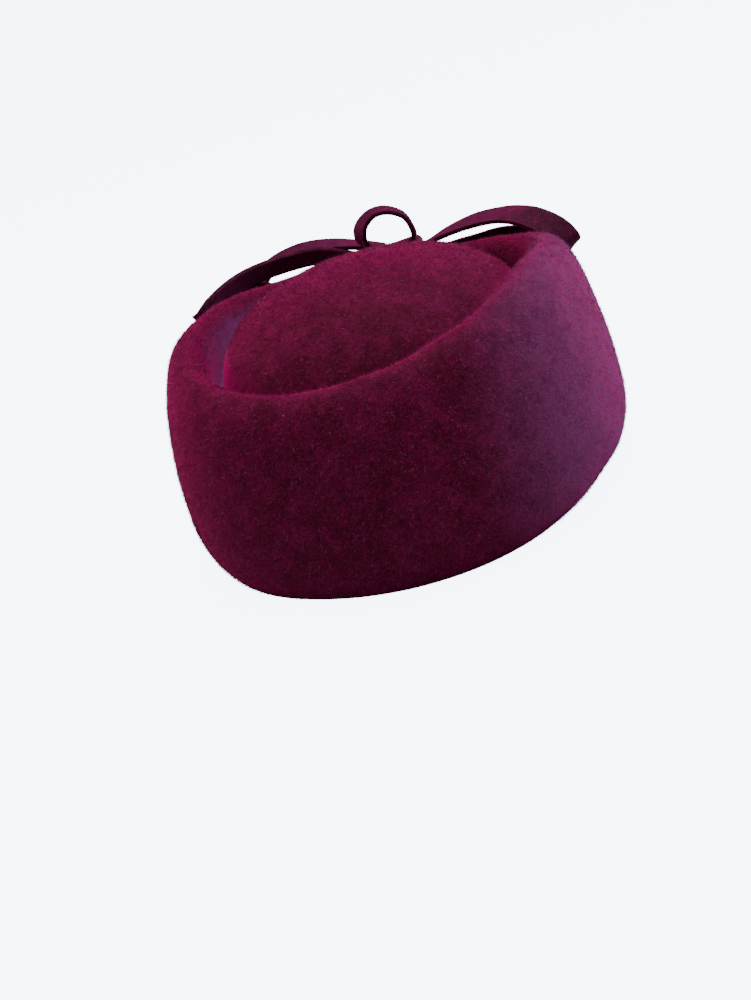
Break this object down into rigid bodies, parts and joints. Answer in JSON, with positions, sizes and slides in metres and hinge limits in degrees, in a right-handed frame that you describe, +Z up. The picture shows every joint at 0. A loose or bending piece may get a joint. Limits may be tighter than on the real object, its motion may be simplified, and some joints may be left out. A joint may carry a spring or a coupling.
{
  "type": "pillbox hat",
  "caption": "Tall felt pillbox hat with a tucked rim, soft ridged top edge, groove and low dome, and looped felt strips at the back; hollow for the head.",
  "frame": {"origin": "in the plane of the rim, under the middle of the hat", "axes": "+Z up out of the dome, front of the hat towards -Y, the wearer's left towards +X"},
  "size_m": [0.1701, 0.1859, 0.1014],
  "materials": {
    "burgundy_felt": "deep burgundy velour felt with a soft nap",
    "plum_trim_felt": "dark plum felt strip with a soft nap"
  },
  "bodies": {
    "root": {"felt_body": "burgundy_felt", "trim_knot": "plum_trim_felt", "right_loop": "plum_trim_felt", "left_long_loop": "plum_trim_felt", "left_short_loop": "plum_trim_felt", "centre_loop": "plum_trim_felt"}
  },
  "joints": []
}
